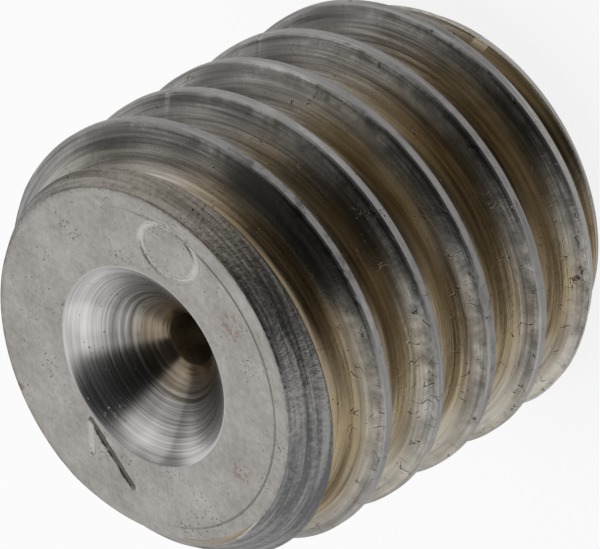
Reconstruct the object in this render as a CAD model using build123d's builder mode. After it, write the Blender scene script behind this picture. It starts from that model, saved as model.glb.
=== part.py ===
from build123d import *
import math
import os

os.makedirs("parts", exist_ok=True)

# Restrictor screw: a headless M6 screw with a hexagon socket at its foot,
# a countersink in its other end, and a fine orifice joining the two.
# All sizes in mm. The screw stands on its socket end: Z is its axis and
# points up, the origin is the centre of the socket end, and the
# countersink is on top.

# Thread: M6 x 1, external, right hand
major_diameter = 5.97          # M6, middle of the 6g tolerance
pitch = 1.0
length = 6.0
first_crest_drop = 0.92        # on +X, first crest centre below the top face
flank_angle = 30               # flank from the plane square to the axis
thread_depth = 0.61343 * pitch
crest_width = pitch / 8

# End faces and chamfers
end_face_diameter = 4.90       # flat left inside the end chamfers
chamfer_length = 0.80          # along the axis, both ends

# Countersink and orifice
countersink_diameter = 2.73
countersink_depth = 0.90
orifice_diameter = 0.70

# Hexagon socket
socket_across_flats = 3.0
socket_depth = 2.50
socket_drill_point = 118       # included angle of the drilled bottom
socket_entry_diameter = 3.70
socket_entry_angle = 120       # included angle of the entry chamfer

# Plain digits stamped in the top face
mark_depth = 0.04
mark_stroke = 0.07
zero_centre = (1.06, -1.57)
zero_length = 1.00
zero_width = 0.77
zero_turn = 38
one_top = (-0.25, 1.45)
one_foot = (-1.25, 1.40)
one_flag = (-0.61, 1.74)

radius = major_diameter / 2
root_radius = radius - thread_depth
face_radius = end_face_diameter / 2
slope = math.tan(math.radians(flank_angle))
drill_point_depth = socket_across_flats / 2 / math.tan(math.radians(socket_drill_point / 2))
entry_depth = (socket_entry_diameter - socket_across_flats) / 2 / math.tan(
    math.radians(socket_entry_angle / 2))

# Groove cutter: a trapezium in the plane through the axis, as wide at its
# mouth as the flanks make it, swept one turn at a time up a helix
overshoot = 0.06 * pitch
root_half = (pitch - crest_width) / 2 - thread_depth * slope
mouth_half = (pitch - crest_width) / 2 + overshoot * slope
first_groove = length - first_crest_drop + pitch / 2
turns_below = math.floor((first_groove + mouth_half) / pitch) + 1
turns_above = math.ceil((length - first_groove + mouth_half) / pitch)

with BuildPart() as restrictor_screw:
    # Blank with both end chamfers
    with BuildSketch(Plane.XZ):
        with BuildLine():
            Polyline((0, 0), (face_radius, 0), (radius, chamfer_length),
                     (radius, length - chamfer_length), (face_radius, length),
                     (0, length), close=True)
        make_face()
    revolve(axis=Axis.Z)

    # Thread groove
    for turn in range(-turns_below, turns_above):
        start = first_groove + turn * pitch
        with BuildLine() as groove_path:
            Helix(pitch=pitch, height=pitch, radius=root_radius, center=(0, 0, start))
        with BuildSketch(Plane(origin=(root_radius, 0, start),
                               x_dir=(1, 0, 0), z_dir=(0, -1, 0))):
            with BuildLine():
                Polyline((0, -root_half), (thread_depth + overshoot, -mouth_half),
                         (thread_depth + overshoot, mouth_half), (0, root_half),
                         close=True)
            make_face()
        sweep(path=groove_path.edges()[0], is_frenet=True, mode=Mode.SUBTRACT)

    # Countersink, orifice, drilled socket bottom and socket entry
    with BuildSketch(Plane.XZ):
        with BuildLine():
            Polyline(
                (0, length + 0.5),
                (countersink_diameter / 2, length + 0.5),
                (countersink_diameter / 2, length),
                (orifice_diameter / 2, length - countersink_depth),
                (orifice_diameter / 2, socket_depth + drill_point_depth * (
                    1 - orifice_diameter / socket_across_flats)),
                (socket_across_flats / 2, socket_depth),
                (socket_across_flats / 2, entry_depth),
                (socket_entry_diameter / 2, 0),
                (socket_entry_diameter / 2, -0.5),
                (0, -0.5), close=True)
        make_face()
    revolve(axis=Axis.Z, mode=Mode.SUBTRACT)

    # Hexagon socket
    with BuildSketch(Plane.XY):
        RegularPolygon(socket_across_flats / 2, 6, major_radius=False)
    extrude(amount=socket_depth, mode=Mode.SUBTRACT)

    # Stamped "0"
    with BuildSketch(Plane.XY.offset(length)):
        with Locations(Location((zero_centre[0], zero_centre[1], 0), (0, 0, zero_turn))):
            Ellipse(zero_length / 2, zero_width / 2)
            Ellipse(zero_length / 2 - mark_stroke, zero_width / 2 - mark_stroke,
                    mode=Mode.SUBTRACT)
    extrude(amount=-mark_depth, mode=Mode.SUBTRACT)

    # Stamped "1": a stem and a short flag
    with BuildSketch(Plane.XY.offset(length)):
        for end in (one_foot, one_flag):
            dx, dy = end[0] - one_top[0], end[1] - one_top[1]
            middle = ((end[0] + one_top[0]) / 2, (end[1] + one_top[1]) / 2, 0)
            with Locations(Location(middle, (0, 0, math.degrees(math.atan2(dy, dx))))):
                SlotCenterToCenter(math.hypot(dx, dy), mark_stroke)
    extrude(amount=-mark_depth, mode=Mode.SUBTRACT)

restrictor_screw.part.label = "restrictor_screw"
print("solids", len(restrictor_screw.part.solids()),
      "volume", round(restrictor_screw.part.volume, 3),
      "box", restrictor_screw.part.bounding_box())
export_step(restrictor_screw.part, "parts/restrictor_screw.step")
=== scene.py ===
import math

import bpy
from mathutils import Matrix, Vector


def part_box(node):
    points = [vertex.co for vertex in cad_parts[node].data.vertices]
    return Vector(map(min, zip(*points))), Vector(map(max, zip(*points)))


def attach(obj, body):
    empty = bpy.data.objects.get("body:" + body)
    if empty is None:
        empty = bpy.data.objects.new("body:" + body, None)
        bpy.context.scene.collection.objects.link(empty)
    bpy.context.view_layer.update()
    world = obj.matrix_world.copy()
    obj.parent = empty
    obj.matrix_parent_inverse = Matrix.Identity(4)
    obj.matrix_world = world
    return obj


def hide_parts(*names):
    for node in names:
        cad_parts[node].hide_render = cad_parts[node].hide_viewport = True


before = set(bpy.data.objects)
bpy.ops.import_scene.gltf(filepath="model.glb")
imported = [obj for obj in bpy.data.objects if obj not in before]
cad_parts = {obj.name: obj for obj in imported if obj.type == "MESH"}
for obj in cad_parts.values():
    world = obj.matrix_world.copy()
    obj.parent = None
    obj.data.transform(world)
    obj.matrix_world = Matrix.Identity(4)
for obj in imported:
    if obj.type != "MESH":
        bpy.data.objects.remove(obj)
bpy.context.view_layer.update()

# The screw's body: one bar of stainless steel, turned, threaded M6 x 1 to the
# right, chamfered at both ends, countersunk and drilled through from the top,
# and broached from below for a 3 mm key. The tree works in millimetres.
low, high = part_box("restrictor_screw")
length = (high.z - low.z) * 1000
major_diameter = max(high.x - low.x, high.y - low.y) * 1000
body_sizes = {
    "Major Diameter": major_diameter,
    "Length": length,
    "Pitch": 1.0,
    "Thread Depth": 0.61343,
    "Crest Width": 0.125,
    "First Crest Drop": 0.92,
    "End Face Diameter": 4.90,
    "Chamfer Length": 0.80,
    "Countersink Diameter": 2.73,
    "Countersink Depth": 0.90,
    "Orifice Diameter": 0.70,
    "Socket Across Flats": 3.0,
    "Socket Depth": 2.50,
    "Socket Entry Diameter": 3.70,
    "Edge Break": 0.012,
    "Nick Depth": 0.03,
    "Stamp Depth": 0.025,
}
surfaces = ("Thread", "Top Face", "Countersink", "Bore", "Socket", "Under Face")
turn_columns = 600
thread_turns = 9
turns_under_first = 7


class Bench:
    """Adds nodes to one tree, and links what it is given."""

    def __init__(self, tree):
        self.tree = tree

    def put(self, kind, *inputs, **settings):
        node = self.tree.nodes.new(kind)
        for name, value in settings.items():
            setattr(node, name, value)
        for index, value in enumerate(inputs):
            if value is None:
                continue
            if isinstance(value, bpy.types.NodeSocket):
                self.tree.links.new(value, node.inputs[index])
            else:
                node.inputs[index].default_value = value
        return node

    def sum(self, operation, *inputs):
        return self.put("ShaderNodeMath", *inputs, operation=operation).outputs[0]

    def add(self, *values):
        total = values[0]
        for value in values[1:]:
            total = self.sum("ADD", total, value)
        return total

    def less(self, a, b):
        return self.sum("SUBTRACT", a, b)

    def times(self, *values):
        total = values[0]
        for value in values[1:]:
            total = self.sum("MULTIPLY", total, value)
        return total

    def over(self, a, b):
        return self.sum("DIVIDE", a, b)

    def between(self, value, lowest, highest):
        return self.sum("MINIMUM", self.sum("MAXIMUM", value, lowest), highest)

    def choose(self, test, when_true, when_false):
        return self.add(when_false, self.times(test, self.less(when_true, when_false)))

    def mark_surface(self, geometry, number):
        node = self.put("GeometryNodeStoreNamedAttribute", geometry, data_type="INT", domain="FACE")
        node.inputs["Name"].default_value = "surface"
        if isinstance(number, bpy.types.NodeSocket):
            self.tree.links.new(number, node.inputs["Value"])
        else:
            node.inputs["Value"].default_value = number
        return node.outputs[0]

    def facing(self, point, degrees):
        """The cosine of the angle round the axis between a point and a heading."""
        flat = self.put("ShaderNodeVectorMath", point, (1.0, 1.0, 0.0), operation="MULTIPLY").outputs[0]
        flat = self.put("ShaderNodeVectorMath", flat, operation="NORMALIZE").outputs[0]
        heading = (math.cos(math.radians(degrees)), math.sin(math.radians(degrees)), 0.0)
        return self.put("ShaderNodeVectorMath", flat, heading, operation="DOT_PRODUCT").outputs["Value"]

    def ease(self, value, start, end, low=0.0, high=1.0):
        return self.put("ShaderNodeMapRange", value, start, end, low, high, interpolation_type="SMOOTHSTEP").outputs[0]

    def blend(self, factor, below, above):
        node = self.put("ShaderNodeMix", factor, None, None, None, None, None, below, above, data_type="RGBA")
        return node.outputs[2]

    def pattern(self, tree, **inputs):
        node = self.put("ShaderNodeGroup", node_tree=tree)
        for name, value in inputs.items():
            name = name.replace("_", " ").title()
            if isinstance(value, bpy.types.NodeSocket):
                self.tree.links.new(value, node.inputs[name])
            else:
                node.inputs[name].default_value = value
        return node.outputs[0]


def pattern_tree(name, inputs, result, draw):
    """A shader node group of one pattern: floats and one vector in, one value out."""
    tree = bpy.data.node_groups.new(name, "ShaderNodeTree")
    for title, value in inputs.items():
        kind = "NodeSocketVector" if value is None else "NodeSocketFloat"
        socket = tree.interface.new_socket(title, in_out="INPUT", socket_type=kind)
        if value is not None:
            socket.default_value = value
    tree.interface.new_socket(result, in_out="OUTPUT", socket_type="NodeSocketFloat")
    b = Bench(tree)
    b.put("NodeGroupOutput", draw(b, b.put("NodeGroupInput").outputs))
    return tree


def turned_band_tree():
    """A band of a turned surface between two circles, whose radii and heights may change round the turn."""
    tree = bpy.data.node_groups.new("turned_band", "GeometryNodeTree")
    face = tree.interface
    face.new_socket("Columns", in_out="INPUT", socket_type="NodeSocketInt")
    face.new_socket("Rows", in_out="INPUT", socket_type="NodeSocketInt")
    for name in ("Start Radius", "Start Height", "End Radius", "End Height"):
        face.new_socket(name, in_out="INPUT", socket_type="NodeSocketFloat")
    face.new_socket("Surface", in_out="INPUT", socket_type="NodeSocketInt")
    face.new_socket("Band", in_out="OUTPUT", socket_type="NodeSocketGeometry")
    b = Bench(tree)
    given = b.put("NodeGroupInput").outputs
    grid = b.put("GeometryNodeMeshGrid", 1.0, 1.0, b.add(given["Columns"], 1), b.add(given["Rows"], 1))
    place = b.put("ShaderNodeSeparateXYZ", b.put("GeometryNodeInputPosition").outputs[0]).outputs
    angle = b.times(b.add(place[0], 0.5), math.tau)
    along = b.add(place[1], 0.5)
    radius = b.add(b.times(along, b.less(given["End Radius"], given["Start Radius"])), given["Start Radius"])
    height = b.add(b.times(along, b.less(given["End Height"], given["Start Height"])), given["Start Height"])
    point = b.put("ShaderNodeCombineXYZ", b.times(radius, b.sum("COSINE", angle)),
                  b.times(radius, b.sum("SINE", angle)), height)
    moved = b.put("GeometryNodeSetPosition", grid.outputs[0], None, point.outputs[0])
    b.put("NodeGroupOutput", b.mark_surface(moved.outputs[0], given["Surface"]))
    return tree


def digit_distances(b, x, y):
    """How far a point of the top face is from the stamped ring, stem and flag."""
    def bar(start, end):
        run = (end[0] - start[0], end[1] - start[1])
        square = run[0] ** 2 + run[1] ** 2
        from_x, from_y = b.less(x, start[0]), b.less(y, start[1])
        part = b.between(b.add(b.times(from_x, run[0] / square), b.times(from_y, run[1] / square)), 0.0, 1.0)
        away_x, away_y = b.less(from_x, b.times(part, run[0])), b.less(from_y, b.times(part, run[1]))
        return b.sum("SQRT", b.add(b.times(away_x, away_x), b.times(away_y, away_y)))

    ring_centre, ring_turn = (1.06, -1.57), math.radians(38)
    half_length, half_width = 0.465, 0.35
    stem_top, stem_foot, flag_tip = (-0.25, 1.45), (-1.25, 1.40), (-0.61, 1.74)
    cosine, sine = math.cos(ring_turn), math.sin(ring_turn)
    from_x, from_y = b.less(x, ring_centre[0]), b.less(y, ring_centre[1])
    lengthwise = b.times(b.add(b.times(from_x, cosine), b.times(from_y, sine)), 1 / half_length)
    crosswise = b.times(b.less(b.times(from_y, cosine), b.times(from_x, sine)), 1 / half_width)
    ring = b.sum("SQRT", b.add(b.times(lengthwise, lengthwise), b.times(crosswise, crosswise)))
    ring = b.times(b.sum("ABSOLUTE", b.less(ring, 1.0)), 0.40)
    return ring, bar(stem_top, stem_foot), bar(stem_top, flag_tip)


def screw_body_tree(band_tree):
    tree = bpy.data.node_groups.new("screw_body", "GeometryNodeTree")
    face = tree.interface
    for name in body_sizes:
        face.new_socket(name, in_out="INPUT", socket_type="NodeSocketFloat")
    face.new_socket("Columns", in_out="INPUT", socket_type="NodeSocketInt")
    face.new_socket("Seed", in_out="INPUT", socket_type="NodeSocketFloat")
    for name in surfaces:
        face.new_socket(name, in_out="INPUT", socket_type="NodeSocketMaterial")
    face.new_socket("Body", in_out="OUTPUT", socket_type="NodeSocketGeometry")
    b = Bench(tree)
    given = b.put("NodeGroupInput").outputs
    pitch, tall, edge = given["Pitch"], given["Length"], given["Edge Break"]
    radius = b.times(given["Major Diameter"], 0.5)
    face_radius = b.times(given["End Face Diameter"], 0.5)
    half_crest = b.times(given["Crest Width"], 0.5)
    lean = math.tan(math.radians(30))
    taper = b.over(b.less(radius, face_radius), given["Chamfer Length"])

    place = b.put("ShaderNodeSeparateXYZ", b.put("GeometryNodeInputPosition").outputs[0]).outputs
    turn = b.add(place[0], 0.5)
    angle = b.times(turn, math.tau)
    first_crest = b.less(tall, given["First Crest Drop"])

    def screw_radius(height):
        """The lesser of the thread's form and the chamfered bar, at a height and the grid's own angle."""
        off = b.less(height, b.add(first_crest, b.times(pitch, turn)))
        away = b.sum("ABSOLUTE", b.less(off, b.times(pitch, b.sum("ROUND", b.over(off, pitch)))))
        fall = b.sum("MAXIMUM", b.over(b.less(away, half_crest), lean), 0.0)
        fall = b.put("ShaderNodeMath", fall, given["Thread Depth"], 0.24, operation="SMOOTH_MIN").outputs[0]
        form = b.less(radius, fall)
        room = b.sum("MINIMUM", height, b.less(tall, height))
        bar = b.sum("MINIMUM", radius, b.add(face_radius, b.times(room, taper)))
        return b.sum("MINIMUM", form, bar), away

    # Rows of the side follow the thread, with one on every edge it makes
    rows_a_turn = 18
    rows = rows_a_turn * thread_turns
    row = b.sum("ROUND", b.times(b.add(place[1], 0.5), rows))
    turn_number = b.sum("FLOOR", b.over(b.add(row, 0.5), rows_a_turn))
    step = b.less(row, b.times(turn_number, rows_a_turn))
    crest = b.add(first_crest, b.times(pitch, b.add(turn, b.less(turn_number, turns_under_first))))
    upper_half = b.sum("GREATER_THAN", crest, b.times(tall, 0.5))
    under_edge, over_edge = b.less(crest, half_crest), b.add(crest, half_crest)
    gap = b.less(face_radius, radius)
    rise_top = b.over(b.add(gap, b.times(tall, taper), b.over(under_edge, lean)), b.add(1 / lean, taper))
    rise_foot = b.over(b.add(gap, b.over(under_edge, lean)), b.less(1 / lean, taper))
    fall_top = b.over(b.less(b.over(over_edge, lean), b.add(gap, b.times(tall, taper))), b.less(1 / lean, taper))
    fall_foot = b.over(b.less(b.over(over_edge, lean), gap), b.add(1 / lean, taper))
    flank_low = b.less(crest, b.times(pitch, 0.30))
    flank_high = b.add(crest, b.times(pitch, 0.30))
    rise = b.choose(upper_half, rise_top, rise_foot)
    fall = b.choose(upper_half, fall_top, fall_foot)
    shoulder = b.choose(upper_half, b.less(tall, given["Chamfer Length"]), given["Chamfer Length"])
    low_out, low_in = b.less(under_edge, edge), b.add(under_edge, edge)
    high_in, high_out = b.less(over_edge, edge), b.add(over_edge, edge)
    heights = [
        b.less(crest, b.times(pitch, 0.5)), b.less(crest, b.times(pitch, 0.455)),
        b.less(crest, b.times(pitch, 0.415)), b.less(crest, b.times(pitch, 0.37)), flank_low,
        b.between(b.less(rise, edge), flank_low, b.less(low_out, 0.03)),
        b.between(b.add(rise, edge), flank_low, b.less(low_out, 0.03)),
        low_out, low_in, b.between(shoulder, low_in, high_in), high_in, high_out,
        b.between(b.less(fall, edge), b.add(high_out, 0.03), flank_high),
        b.between(b.add(fall, edge), b.add(high_out, 0.03), flank_high),
        flank_high, b.add(crest, b.times(pitch, 0.37)), b.add(crest, b.times(pitch, 0.415)),
        b.add(crest, b.times(pitch, 0.455)),
    ]
    pick = tree.nodes.new("GeometryNodeIndexSwitch")
    pick.data_type = "FLOAT"
    while len(pick.index_switch_items) < rows_a_turn:
        pick.index_switch_items.new()
    tree.links.new(step, pick.inputs[0])
    for index, value in enumerate(heights):
        tree.links.new(value, pick.inputs[index + 1])
    height = b.between(pick.outputs[0], edge, b.less(tall, edge))
    side_radius, away = screw_radius(height)

    # Small nicks and a slight unevenness along the crests
    spot = b.put("ShaderNodeCombineXYZ", b.times(side_radius, b.sum("COSINE", angle)),
                 b.times(side_radius, b.sum("SINE", angle)), height).outputs[0]
    nicks = b.put("ShaderNodeTexNoise", spot, given["Seed"], 5.0, 2.0, 0.6, noise_dimensions="4D").outputs[0]
    wander = b.put("ShaderNodeTexNoise", spot, given["Seed"], 1.3, 1.0, 0.5, noise_dimensions="4D").outputs[0]
    on_crest = b.sum("GREATER_THAN", b.add(half_crest, b.times(edge, 1.5)), away)
    bite = b.between(b.times(b.less(nicks, 0.66), 9.0), 0.0, 1.0)
    loss = b.times(on_crest, b.add(b.times(bite, given["Nick Depth"]), b.times(wander, 0.012)))
    worn = b.less(side_radius, loss)
    point = b.put("ShaderNodeCombineXYZ", b.times(worn, b.sum("COSINE", angle)),
                  b.times(worn, b.sum("SINE", angle)), height)
    grid = b.put("GeometryNodeMeshGrid", 1.0, 1.0, b.add(given["Columns"], 1), rows + 1)
    side = b.put("GeometryNodeSetPosition", grid.outputs[0], None, point.outputs[0])
    pieces = [b.mark_surface(side.outputs[0], surfaces.index("Thread"))]

    def band(rows_in_band, start, end, surface):
        node = tree.nodes.new("GeometryNodeGroup")
        node.node_tree = band_tree
        names = ("Columns", "Rows", "Start Radius", "Start Height", "End Radius", "End Height", "Surface")
        values = (given["Columns"], rows_in_band, *start, *end, surfaces.index(surface))
        for name, value in zip(names, values):
            if isinstance(value, bpy.types.NodeSocket):
                tree.links.new(value, node.inputs[name])
            else:
                node.inputs[name].default_value = value
        pieces.append(node.outputs[0])

    # Top face with a broken outer edge, countersink, orifice
    top_edge = b.less(tall, edge)
    top_rim, _ = screw_radius(tall)
    top_rim = b.less(top_rim, edge)
    mouth = b.times(given["Countersink Diameter"], 0.5)
    orifice = b.times(given["Orifice Diameter"], 0.5)
    cone_foot = b.less(tall, given["Countersink Depth"])
    band(1, (screw_radius(top_edge)[0], top_edge), (top_rim, tall), "Thread")
    band(34, (top_rim, tall), (b.add(mouth, edge), tall), "Top Face")
    band(1, (b.add(mouth, edge), tall), (b.less(mouth, edge), top_edge), "Countersink")
    band(6, (b.less(mouth, edge), top_edge), (b.add(orifice, edge), b.add(cone_foot, edge)), "Countersink")
    band(1, (b.add(orifice, edge), b.add(cone_foot, edge)), (orifice, b.less(cone_foot, edge)), "Bore")

    # Socket: drilled bottom, hexagon, entry chamfer, then the face it stands on
    flat = b.times(given["Socket Across Flats"], 0.5)
    sixth = math.pi / 3
    from_flat = b.less(angle, b.times(sixth, b.sum("ROUND", b.over(angle, sixth))))
    hexagon = b.over(flat, b.sum("COSINE", from_flat))
    point_slope = 1 / math.tan(math.radians(59))
    bottom = given["Socket Depth"]
    drill_top = b.add(bottom, b.times(b.less(flat, orifice), point_slope))
    entry = b.times(given["Socket Entry Diameter"], 0.5)
    entry_slope = 1 / math.tan(math.radians(60))
    entry_height = b.times(b.less(entry, hexagon), entry_slope)
    foot_rim = b.less(screw_radius(b.times(edge, 0.0))[0], edge)
    band(6, (orifice, b.less(cone_foot, edge)), (orifice, drill_top), "Bore")
    band(4, (orifice, drill_top), (flat, bottom), "Socket")
    band(1, (flat, bottom), (hexagon, bottom), "Socket")
    band(3, (hexagon, bottom), (hexagon, entry_height), "Socket")
    band(1, (hexagon, entry_height), (entry, 0.0), "Socket")
    band(4, (entry, 0.0), (foot_rim, 0.0), "Under Face")
    band(1, (foot_rim, 0.0), (screw_radius(edge)[0], edge), "Thread")

    join = tree.nodes.new("GeometryNodeJoinGeometry")
    for piece in reversed(pieces):
        tree.links.new(piece, join.inputs[0])
    weld = b.put("GeometryNodeMergeByDistance", join.outputs[0], None, 0.0005)

    # The two digits are stamped into the top face
    spot = b.put("ShaderNodeSeparateXYZ", b.put("GeometryNodeInputPosition").outputs[0]).outputs
    ring, stem, flag = digit_distances(b, spot[0], spot[1])
    near = b.sum("MINIMUM", ring, b.sum("MINIMUM", stem, flag))
    sunk = b.times(b.ease(near, 0.0, 0.065, 1.0, 0.0), given["Stamp Depth"], -1.0)
    on_face = b.sum("GREATER_THAN", spot[2], b.less(tall, 0.0001))
    stamp = b.put("ShaderNodeCombineXYZ", 0.0, 0.0, b.times(sunk, on_face))
    stamped = b.put("GeometryNodeSetPosition", weld.outputs[0], None, None, stamp.outputs[0])
    metres = b.put("GeometryNodeTransform", stamped.outputs[0])
    metres.inputs["Scale"].default_value = (0.001, 0.001, 0.001)
    whole = b.put("GeometryNodeRealizeInstances", metres.outputs[0]).outputs[0]
    number = b.put("GeometryNodeInputNamedAttribute", "surface", data_type="INT").outputs[0]
    for index, name in enumerate(surfaces):
        same = b.put("FunctionNodeCompare", data_type="INT", operation="EQUAL")
        tree.links.new(number, same.inputs[2])
        same.inputs[3].default_value = index
        whole = b.put("GeometryNodeSetMaterial", whole, same.outputs[0], given[name]).outputs[0]
    b.put("NodeGroupOutput", whole)
    return tree


def draw_turning_marks(b, given):
    around = b.put("ShaderNodeSeparateXYZ", given["Around"]).outputs
    fine = b.put("ShaderNodeCombineXYZ", b.times(given["Across"], given["Lines Per Mm"]), b.add(around[0], around[2]),
                 around[1]).outputs[0]
    broad = b.put("ShaderNodeVectorMath", fine, (0.23, 0.6, 0.6), operation="MULTIPLY").outputs[0]
    fine = b.put("ShaderNodeTexNoise", fine, None, 1.0, 2.0, 0.55).outputs[0]
    broad = b.put("ShaderNodeTexNoise", broad, None, 1.0, 1.0, 0.5).outputs[0]
    return b.add(b.times(b.less(fine, 0.5), 0.6), b.times(b.less(broad, 0.5), given["Broad"]))


def draw_specks(b, given):
    dot = b.put("ShaderNodeTexNoise", given["Point"], None, given["Specks Per Mm"], 1.0, 0.5).outputs[0]
    groups_per_mm = b.times(given["Specks Per Mm"], 0.11)
    group = b.put("ShaderNodeTexNoise", given["Point"], None, groups_per_mm, 2.0, 0.6).outputs[0]
    level = b.add(dot, b.times(b.less(group, 0.5), given["Grouping"]))
    return b.between(b.times(b.less(level, given["Threshold"]), 16.0), 0.0, 1.0)


def draw_hairlines(b, given):
    bend = b.put("ShaderNodeTexNoise", given["Point"], None, given["Lines Per Mm"], 1.5, 0.55)
    bend.inputs["Distortion"].default_value = 0.7
    ridge = b.sum("ABSOLUTE", b.less(bend.outputs[0], 0.5))
    line = b.ease(ridge, 0.0, given["Width"], 1.0, 0.0)
    part = b.put("ShaderNodeTexNoise", given["Point"], None, b.times(given["Lines Per Mm"], 1.7), 1.0, 0.5).outputs[0]
    return b.times(line, b.between(b.times(b.less(part, given["Threshold"]), 12.0), 0.0, 1.0))


def draw_mottle(b, given):
    cloud = b.put("ShaderNodeTexNoise", given["Point"], None, given["Patches Per Mm"], 4.0, 0.62).outputs[0]
    return b.between(b.add(b.times(b.less(cloud, 0.5), given["Contrast"]), 0.5), 0.0, 1.0)


turning_marks = pattern_tree("turning_marks", {"Across": 0.0, "Around": None, "Lines Per Mm": 20.0, "Broad": 0.5},
                             "Height", draw_turning_marks)
specks = pattern_tree("specks", {"Point": None, "Specks Per Mm": 20.0, "Grouping": 0.5, "Threshold": 0.68},
                      "Mask", draw_specks)
hairlines = pattern_tree("hairlines", {"Point": None, "Lines Per Mm": 3.0, "Width": 0.012, "Threshold": 0.55},
                         "Mask", draw_hairlines)
mottle = pattern_tree("mottle", {"Point": None, "Patches Per Mm": 1.5, "Contrast": 2.0}, "Shade", draw_mottle)


class Finish(Bench):
    """A bare steel finish, with the coordinates its patterns use: millimetres from the socket end."""

    def __init__(self, name, anisotropy=0.0):
        self.material = bpy.data.materials.new(name)
        self.material.use_nodes = True
        super().__init__(self.material.node_tree)
        self.tree.nodes.clear()
        self.shader = self.put("ShaderNodeBsdfPrincipled")
        self.shader.inputs["Metallic"].default_value = 1.0
        self.shader.inputs["Anisotropic"].default_value = anisotropy
        if anisotropy:
            self.shader.inputs["Anisotropic Rotation"].default_value = 0.25
            tangent = self.put("ShaderNodeTangent", direction_type="RADIAL", axis="Z")
            self.tree.links.new(tangent.outputs[0], self.shader.inputs["Tangent"])
        self.put("ShaderNodeOutputMaterial", self.shader.outputs[0])
        point = self.put("ShaderNodeVectorMath", self.put("ShaderNodeTexCoord").outputs["Object"], operation="SCALE")
        point.inputs["Scale"].default_value = 1000
        self.point = point.outputs[0]
        self.x, self.y, self.z = self.put("ShaderNodeSeparateXYZ", self.point).outputs
        self.radius = self.sum("SQRT", self.add(self.times(self.x, self.x), self.times(self.y, self.y)))
        flat = self.put("ShaderNodeVectorMath", self.point, (1.0, 1.0, 0.0), operation="MULTIPLY").outputs[0]
        self.heading = self.put("ShaderNodeVectorMath", flat, operation="NORMALIZE").outputs[0]

    def around(self, scale):
        node = self.put("ShaderNodeVectorMath", self.heading, operation="SCALE")
        node.inputs["Scale"].default_value = scale
        return node.outputs[0]

    def stretched(self, x, y, z, turn=0.0):
        point = self.point
        if turn:
            point = self.put("ShaderNodeVectorRotate", point, rotation_type="Z_AXIS")
            point.inputs["Angle"].default_value = math.radians(turn)
            self.tree.links.new(self.point, point.inputs["Vector"])
            point = point.outputs[0]
        return self.put("ShaderNodeVectorMath", point, (x, y, z), operation="MULTIPLY").outputs[0]

    def wear(self, color, roughness, height):
        self.tree.links.new(color, self.shader.inputs["Base Color"])
        self.tree.links.new(self.between(roughness, 0.08, 0.9), self.shader.inputs["Roughness"])
        bump = self.put("ShaderNodeBump")
        bump.inputs["Distance"].default_value = 0.001
        self.tree.links.new(height, bump.inputs["Height"])
        self.tree.links.new(bump.outputs[0], self.shader.inputs["Normal"])
        return self.material


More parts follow.
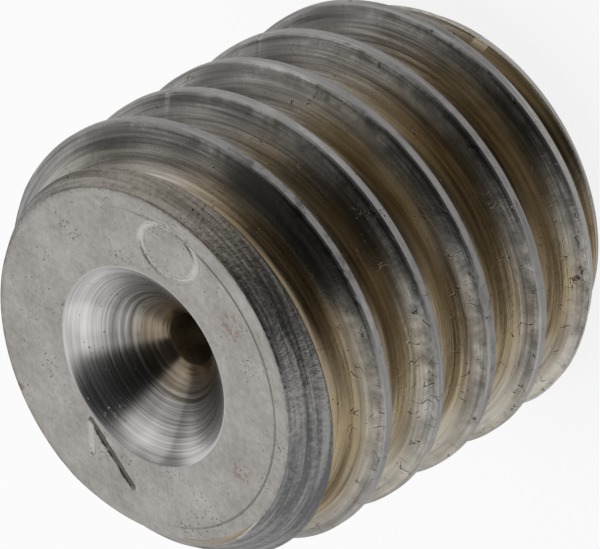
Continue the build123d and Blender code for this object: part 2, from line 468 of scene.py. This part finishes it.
def threaded_steel():
    """Cut threads: fine helical marks, brown oil stain down in the roots, rubbed crests with nicks, and the
    rough-turned
    chamfers, with painted light and shade: a pale painted reflection on the flanks to one side, a near-black painted
    patch on the first flank, painted shade beside the crests, a painted highlight along the chamfer's outer edge, and
    a painted highlight on the rear chamfer."""
    m = Finish("threaded_steel", 0.35)
    taper = (body_sizes["Major Diameter"] - body_sizes["End Face Diameter"]) / 2 / body_sizes["Chamfer Length"]
    turn = m.times(m.sum("ARCTAN2", m.y, m.x), 1 / math.tau)
    off = m.less(m.z, m.add(turn, body_sizes["Length"] - body_sizes["First Crest Drop"]))
    phase = m.less(off, m.sum("ROUND", off))
    away = m.sum("ABSOLUTE", phase)
    room = m.sum("MINIMUM", m.z, m.less(body_sizes["Length"], m.z))
    cone = m.add(m.times(room, taper), body_sizes["End Face Diameter"] / 2)
    chamfer = m.ease(m.less(cone, m.radius), 0.015, 0.035, 1.0, 0.0)
    not_chamfer = m.less(1.0, chamfer)
    crest = m.times(m.ease(away, 0.060, 0.085, 1.0, 0.0), not_chamfer)
    root = m.times(m.ease(away, 0.26, 0.42), not_chamfer)
    by_crest = m.times(m.ease(away, 0.10, 0.24, 1.0, 0.0), m.ease(away, 0.065, 0.085), not_chamfer)
    marks = m.pattern(turning_marks, across=m.times(away, 1.6), around=m.stretched(0.55, 0.55, 1.3),
                      lines_per_mm=24.0, broad=0.6)
    rings = m.pattern(turning_marks, across=m.z, around=m.around(2.2), lines_per_mm=26.0, broad=0.5)
    grain = m.pattern(mottle, point=m.point, patches_per_mm=14.0, contrast=3.0)
    shade = m.pattern(mottle, point=m.point, patches_per_mm=0.8, contrast=2.2)
    grime = m.pattern(mottle, point=m.point, patches_per_mm=4.2, contrast=3.4)
    pits = m.pattern(specks, point=m.point, specks_per_mm=24.0, grouping=0.8, threshold=0.80)
    hairs = m.pattern(hairlines, point=m.point, lines_per_mm=3.4, width=0.012, threshold=0.54)
    dents = m.pattern(specks, point=m.point, specks_per_mm=8.0, grouping=0.5, threshold=0.73)
    outer = m.times(m.ease(away, 0.20, 0.36, 1.0, 0.0), not_chamfer)
    # Painted reflections on the flanks: they are painted paler to one side, and the first one has a near-black painted
    # patch beside its crest, a painted dark reflection
    painted_pale_reflection = m.times(m.ease(m.facing(m.point, -180), 0.84, 0.99), outer, m.ease(m.z, 4.2, 4.5, 1.0, 0.0))
    stained = m.ease(m.facing(m.point, -128), -0.15, 0.5, 0.30, 1.0)
    low_flank = m.ease(away, 0.10, 0.30)
    brown = m.between(m.times(stained, m.add(m.times(low_flank, 0.75), m.times(shade, 0.55))), 0.0, 1.0)
    brown = m.times(brown, not_chamfer, m.less(1.0, crest))
    streak = m.between(m.add(m.times(marks, 3.4), 0.5), 0.0, 1.0)
    hairs = m.times(hairs, m.ease(m.facing(m.point, -165), 0.1, 0.8, 0.0, 1.0), outer)
    color = m.blend(streak, (0.18, 0.178, 0.180, 1), (0.50, 0.49, 0.475, 1))
    color = m.blend(m.times(brown, 0.95), color, m.blend(streak, (0.150, 0.108, 0.056, 1), (0.42, 0.338, 0.212, 1)))
    # The flanks to one side painted pale: a painted reflection
    color = m.blend(m.times(painted_pale_reflection, 0.8), color, m.blend(streak, (0.40, 0.36, 0.29, 1), (0.66, 0.62, 0.545, 1)))
    flakes = m.between(m.add(m.times(rings, 4.6), m.times(m.less(grain, 0.5), 0.5), 0.40), 0.0, 1.0)
    rough_turned = m.blend(flakes, (0.085, 0.083, 0.083, 1), (0.36, 0.35, 0.335, 1))
    browner = m.times(m.ease(m.facing(m.point, -45), 0.5, 1.0), 0.35)
    rough_turned = m.blend(browner, rough_turned, (0.34, 0.285, 0.205, 1))
    bluer = m.times(m.ease(m.facing(m.point, -165), 0.6, 1.0), 0.35)
    rough_turned = m.blend(bluer, rough_turned, (0.235, 0.242, 0.252, 1))
    # The rear chamfer is painted lighter: a painted highlight
    rough_turned = m.blend(m.times(m.ease(m.z, 1.2, 1.6, 1.0, 0.0), 0.6), rough_turned, (0.62, 0.60, 0.56, 1))
    color = m.blend(chamfer, color, rough_turned)
    # A painted highlight along the chamfer's outer edge, where it meets the thread
    painted_edge_highlight = m.times(chamfer, not_chamfer, 3.2, m.ease(shade, 0.2, 0.7))
    color = m.blend(painted_edge_highlight, color, (0.72, 0.69, 0.64, 1))
    # A painted dark reflection: the near-black patch beside the first crest
    painted_dark_reflection = m.times(m.ease(m.facing(m.point, -78), 0.88, 0.96), m.ease(m.z, 4.3, 4.6), outer)
    color = m.blend(m.times(painted_dark_reflection, 0.9), color, (0.035, 0.035, 0.037, 1))
    color = m.blend(m.times(crest, m.ease(grime, 0.15, 0.8, 0.25, 0.85)), color, (0.34, 0.328, 0.318, 1))
    # Painted shade: beside the crests the flanks are painted darker on one side, mottled
    painted_shade_by_crest = m.times(by_crest, grime, m.ease(m.facing(m.point, -92), 0.2, 0.8, 0.25, 0.85))
    color = m.blend(painted_shade_by_crest, color, (0.085, 0.082, 0.068, 1))
    edge_nicks = m.times(dents, m.ease(away, 0.055, 0.075), m.ease(away, 0.10, 0.16, 1.0, 0.0), not_chamfer)
    color = m.blend(m.times(edge_nicks, 0.8), color, (0.06, 0.055, 0.045, 1))
    color = m.blend(m.times(m.sum("MAXIMUM", pits, hairs), 0.8), color, (0.04, 0.036, 0.028, 1))
    roughness = m.add(0.20, m.times(grime, 0.08), m.times(root, 0.08), m.times(chamfer, 0.16), m.times(pits, 0.25),
                      m.times(crest, 0.12), m.times(painted_pale_reflection, 0.08))
    height = m.add(m.times(marks, 0.006, not_chamfer), m.times(rings, 0.014, chamfer), m.times(pits, -0.012),
                   m.times(hairs, -0.008), m.times(grime, 0.0015), m.times(grain, chamfer, 0.006))
    return m.wear(color, roughness, height)


def faced_steel():
    """The lapped top face: a dull warm grey, finely scratched and pitted, with two stamped digits."""
    m = Finish("faced_steel", 0.0)
    along = m.put("ShaderNodeTexNoise", m.stretched(2.2, 26.0, 3.0, 28.0), None, 1.0, 2.0, 0.6).outputs[0]
    astray = m.put("ShaderNodeTexNoise", m.stretched(2.0, 30.0, 3.0, -35.0), None, 1.0, 2.0, 0.6).outputs[0]
    lap = m.times(m.add(m.less(along, 0.5), m.times(m.less(astray, 0.5), 0.8)), 0.6)
    shade = m.pattern(mottle, point=m.point, patches_per_mm=1.5, contrast=2.6)
    fine = m.pattern(mottle, point=m.point, patches_per_mm=10.0, contrast=2.8)
    pits = m.pattern(specks, point=m.point, specks_per_mm=28.0, grouping=0.6, threshold=0.715)
    rings = m.pattern(turning_marks, across=m.radius, around=m.around(5.0), lines_per_mm=13.0, broad=0.4)
    rim = m.ease(m.radius, 2.05, 2.40)
    line = m.ease(m.sum("ABSOLUTE", m.less(m.radius, 2.21)), 0.006, 0.022, 1.0, 0.0)
    line = m.times(line, m.ease(m.facing(m.point, -120), -0.2, 0.6))

    def stroke(distance, half_width):
        return m.ease(distance, half_width * 0.55, half_width * 1.25, 1.0, 0.0)

    def spot(x, y, size):
        away = m.put("ShaderNodeVectorMath", m.point, (x, y, body_sizes["Length"]), operation="DISTANCE")
        return m.ease(away.outputs["Value"], size * 0.2, size, 1.0, 0.0)

    ring, stem, flag = digit_distances(m, m.x, m.y)
    distance = m.sum("MINIMUM", ring, m.sum("MINIMUM", stem, flag))
    groove = stroke(distance, 0.045)
    lip = m.times(stroke(m.sum("ABSOLUTE", m.less(distance, 0.05)), 0.02), 0.3)
    dirty = m.times(stroke(m.add(stem, m.times(m.less(fine, 0.5), 0.05)), 0.055), 0.9)

    tone = m.between(m.add(m.times(lap, 0.9), m.times(shade, 0.55), m.times(fine, 0.5), -0.02), 0.0, 1.0)
    color = m.blend(tone, (0.31, 0.296, 0.275, 1), (0.56, 0.54, 0.515, 1))
    arcs = m.times(m.between(m.times(rings, 3.0), 0.0, 1.0), m.add(0.25, rim),
                   m.ease(m.facing(m.point, -10), -0.4, 0.9))
    color = m.blend(m.times(arcs, 0.45), color, (0.22, 0.21, 0.19, 1))
    chipped = m.times(m.ease(m.radius, 2.36, 2.44), m.ease(fine, 0.35, 0.65))
    color = m.blend(m.times(chipped, 0.6), color, (0.20, 0.192, 0.178, 1))
    stains = m.add(spot(-0.86, 1.25, 0.10), spot(-1.72, -0.63, 0.28), spot(0.58, 2.33, 0.13), spot(-0.1, -1.9, 0.35))
    stains = m.times(stains, m.ease(fine, 0.35, 0.75))
    color = m.blend(m.times(stains, 0.6), color, (0.22, 0.13, 0.085, 1))
    color = m.blend(m.times(pits, 0.55), color, (0.14, 0.125, 0.10, 1))
    color = m.blend(m.times(line, 0.65), color, (0.16, 0.145, 0.12, 1))
    color = m.blend(m.between(m.add(lip, m.times(groove, 0.7)), 0.0, 1.0), color, (0.66, 0.64, 0.60, 1))
    color = m.blend(dirty, color, (0.12, 0.105, 0.085, 1))
    roughness = m.add(0.34, m.times(fine, 0.12), m.times(pits, 0.2), m.times(lap, 0.08))
    height = m.add(m.times(lap, 0.0035), m.times(fine, 0.0035), m.times(rings, rim, 0.005), m.times(pits, -0.010),
                   m.times(line, -0.008), m.times(groove, -0.006), m.times(lip, 0.006))
    return m.wear(color, roughness, height)


def countersunk_steel():
    """The countersink: bright turned rings, coarser and browner towards the hole."""
    m = Finish("countersunk_steel", 0.8)
    rings = m.pattern(turning_marks, across=m.radius, around=m.around(0.7), lines_per_mm=48.0, broad=0.4)
    coarse = m.pattern(turning_marks, across=m.radius, around=m.around(0.5), lines_per_mm=27.0, broad=0.2)
    inner = m.ease(m.radius, 0.45, 1.15, 1.0, 0.0)
    shade = m.pattern(mottle, point=m.point, patches_per_mm=1.6, contrast=1.6)
    pits = m.pattern(specks, point=m.point, specks_per_mm=18.0, grouping=0.5, threshold=0.76)
    lines = m.add(m.times(rings, 0.8), m.times(coarse, inner, 2.2))
    tone = m.between(m.add(m.times(lines, 3.4), m.times(shade, 0.2), 0.42), 0.0, 1.0)
    outer = m.ease(m.radius, 0.65, 1.32)
    bright = m.blend(outer, (0.34, 0.33, 0.32, 1), (0.76, 0.745, 0.735, 1))
    dull = m.blend(outer, (0.10, 0.092, 0.082, 1), (0.36, 0.35, 0.345, 1))
    color = m.blend(tone, dull, bright)
    color = m.blend(m.times(m.ease(m.radius, 0.40, 0.85, 1.0, 0.0), 0.75), color, (0.30, 0.235, 0.15, 1))
    color = m.blend(m.times(pits, 0.6), color, (0.10, 0.09, 0.075, 1))
    roughness = m.add(0.17, m.times(shade, 0.05), m.times(inner, 0.04), m.times(lines, 0.10))
    height = m.add(m.times(rings, 0.0032), m.times(coarse, inner, 0.010), m.times(pits, -0.008))
    return m.wear(color, roughness, height)


def plain_steel(name, light, dark, roughness, across):
    """The parts that the tool only roughed: the hole, the socket and the face round it."""
    m = Finish(name, 0.3)
    steps = m.radius if across == "radius" else m.z
    marks = m.pattern(turning_marks, across=steps, around=m.around(4.0), lines_per_mm=16.0, broad=0.5)
    shade = m.pattern(mottle, point=m.point, patches_per_mm=1.4, contrast=2.2)
    pits = m.pattern(specks, point=m.point, specks_per_mm=18.0, grouping=0.6, threshold=0.73)
    tone = m.between(m.add(m.times(marks, 1.8), m.times(shade, 0.5), 0.25), 0.0, 1.0)
    color = m.blend(m.times(pits, 0.6), m.blend(tone, (*dark, 1), (*light, 1)), (0.08, 0.07, 0.055, 1))
    return m.wear(color, m.add(roughness, m.times(shade, 0.12), m.times(pits, 0.2)),
                  m.add(m.times(marks, 0.005), m.times(pits, -0.010), m.times(shade, 0.003)))


finishes = {
    "Thread": threaded_steel(),
    "Top Face": faced_steel(),
    "Countersink": countersunk_steel(),
    "Bore": plain_steel("drilled_steel", (0.46, 0.39, 0.27), (0.20, 0.155, 0.09), 0.38, "height"),
    "Socket": plain_steel("broached_steel", (0.50, 0.47, 0.43), (0.24, 0.21, 0.17), 0.34, "height"),
    "Under Face": plain_steel("foot_steel", (0.60, 0.585, 0.56), (0.38, 0.36, 0.335), 0.32, "radius"),
}

tree = screw_body_tree(turned_band_tree())
screw = bpy.data.objects.new("restrictor_screw_body", bpy.data.meshes.new("blank"))
bpy.context.scene.collection.objects.link(screw)
shaper = screw.modifiers.new("shape", "NODES")
shaper.node_group = tree
sockets = {item.name: item.identifier for item in tree.interface.items_tree if item.in_out == "INPUT"}
for name, value in {**body_sizes, "Columns": turn_columns, "Seed": 4.0, **finishes}.items():
    shaper[sockets[name]] = value
bpy.context.view_layer.update()
shaped = screw.evaluated_get(bpy.context.evaluated_depsgraph_get())
body_mesh = bpy.data.meshes.new_from_object(shaped)
body_mesh.name = "restrictor_screw_body"
screw.modifiers.clear()
screw.data = body_mesh
screw.data.shade_smooth()
screw.data.set_sharp_from_angle(angle=math.radians(38))
if screw.data.materials[0] is None:
    screw.data.materials.pop(index=0)
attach(screw, "root")
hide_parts("restrictor_screw")

# The floor: pale matt paper that the screw stands on. It shows white to the
# camera and in the metal, and keeps the soft shadow.
floor_mesh = bpy.data.meshes.new("floor")
floor_mesh.from_pydata([(-1.5, -1.5, 0), (1.5, -1.5, 0), (1.5, 1.5, 0), (-1.5, 1.5, 0)], [], [(0, 1, 2, 3)])
floor = bpy.data.objects.new("floor", floor_mesh)
bpy.context.scene.collection.objects.link(floor)
paper = bpy.data.materials.new("white_paper")
paper.use_nodes = True
b = Bench(paper.node_tree)
b.tree.nodes.clear()
rays = b.put("ShaderNodeLightPath").outputs
matt = b.put("ShaderNodeBsdfDiffuse", (0.8, 0.8, 0.8, 1)).outputs[0]
glow = b.put("ShaderNodeEmission", (1, 1, 1, 1), b.choose(rays["Is Camera Ray"], 1.0, 0.7)).outputs[0]
seen = b.times(b.sum("MAXIMUM", rays["Is Camera Ray"], rays["Is Glossy Ray"]), 0.85)
b.put("ShaderNodeOutputMaterial", b.put("ShaderNodeMixShader", seen, matt, glow).outputs[0])
floor_mesh.materials.append(paper)

# Studio light: a pale tent that is dark above and behind the camera, with a
# soft box on each side.
world = bpy.data.worlds.new("tent")
bpy.context.scene.world = world
world.use_nodes = True
b = Bench(world.node_tree)
b.tree.nodes.clear()
heading = b.put("ShaderNodeTexCoord").outputs["Generated"]
over_camera = b.put("ShaderNodeVectorMath", heading, (-0.05, -0.74, 0.67), operation="DOT_PRODUCT").outputs["Value"]
far_left = b.put("ShaderNodeVectorMath", heading, (0.626, 0.391, 0.675), operation="DOT_PRODUCT").outputs["Value"]
shade = b.ease(over_camera, 0.71, 0.88, 0.85, 0.03)
above = b.put("ShaderNodeVectorMath", heading, (0.20, -0.10, 0.975), operation="DOT_PRODUCT").outputs["Value"]
shade = b.times(shade, b.ease(far_left, 0.88, 0.97, 1.0, 0.30), b.ease(above, 0.88, 0.965, 1.0, 0.32))
rays = b.put("ShaderNodeLightPath").outputs
level = b.choose(rays["Is Camera Ray"], 1.0, shade)
tone = b.put("ShaderNodeCombineXYZ", level, level, level).outputs[0]
b.put("ShaderNodeOutputWorld", b.put("ShaderNodeBackground", tone, 1.0).outputs[0])


def soft_box(name, place, target, size, power):
    data = bpy.data.lights.new(name, "AREA")
    data.shape = "RECTANGLE"
    data.size, data.size_y = size
    data.energy = power
    lamp = bpy.data.objects.new(name, data)
    bpy.context.scene.collection.objects.link(lamp)
    lamp.location = place
    lamp.rotation_euler = (Vector(target) - Vector(place)).to_track_quat("-Z", "Y").to_euler()
    return lamp


soft_box("box_right", (0.16, 0.02, 0.10), (0, 0, 0.003), (0.10, 0.10), 0.012)
soft_box("box_left", (-0.16, 0.02, 0.10), (0, 0, 0.003), (0.10, 0.10), 0.008)
above = soft_box("box_above", (0.05, 0.08, 0.30), (0, 0, 0.003), (0.20, 0.20), 0.45)
above.visible_glossy = False

# The camera: a long lens, above the screw's front and rolled, so that the
# screw's axis runs from lower left to upper right.
lens = bpy.data.cameras.new("camera")
lens.sensor_width = 36
lens.lens = 522.66
lens.clip_start = 0.01
camera = bpy.data.objects.new("camera", lens)
bpy.context.scene.collection.objects.link(camera)
camera.matrix_world = Matrix((
    (-0.5044, 0.8635, 0.0, 0.0000081),
    (-0.5558, -0.3247, -0.7653, -0.085171),
    (-0.6608, -0.3860, 0.6437, 0.074649),
    (0, 0, 0, 1)))
bpy.context.scene.camera = camera
bpy.context.scene.view_settings.view_transform = "Standard"
